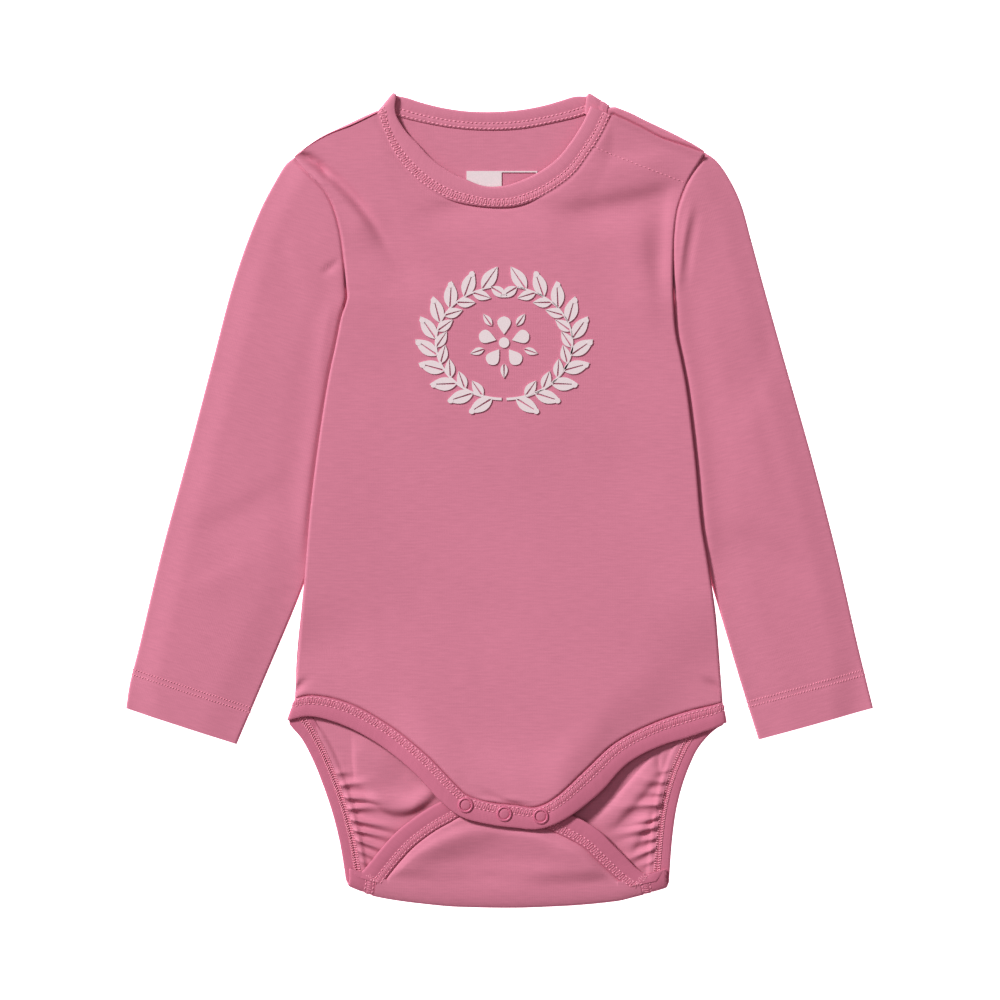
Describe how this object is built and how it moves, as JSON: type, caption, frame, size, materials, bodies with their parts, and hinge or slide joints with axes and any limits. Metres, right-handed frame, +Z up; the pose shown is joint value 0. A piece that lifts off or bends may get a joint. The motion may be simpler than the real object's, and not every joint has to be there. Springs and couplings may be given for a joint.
{
  "type": "baby bodysuit",
  "caption": "Long-sleeved baby bodysuit in pink cotton jersey, laid flat with its crotch snapped shut, with bound neck and legs and a lapped shoulder.",
  "frame": {"origin": "middle of the garment's box, on the surface that it lies on", "axes": "+Y from the crotch to the neck, +X to the right as seen from above the front, +Z up out of the front"},
  "size_m": [0.4116, 0.4486, 0.0111],
  "materials": {
    "jersey": "soft heathered dusty pink cotton jersey, matt with a faint nap",
    "band_jersey": "folded dusty pink jersey bands, matt, with rows of stitching",
    "snap_paint": "pink enamel on small pressed rings, satin"
  },
  "bodies": {
    "root": {"back_panel": "jersey", "front_panel": "jersey", "left_sleeve": "jersey", "right_sleeve": "jersey", "neckband": "band_jersey", "front_leg_binding": "band_jersey", "back_leg_binding": "band_jersey", "snap_ring_left": "snap_paint", "snap_stud_left": "snap_paint", "snap_ring_middle": "snap_paint", "snap_stud_middle": "snap_paint", "snap_ring_right": "snap_paint", "snap_stud_right": "snap_paint"}
  },
  "joints": []
}
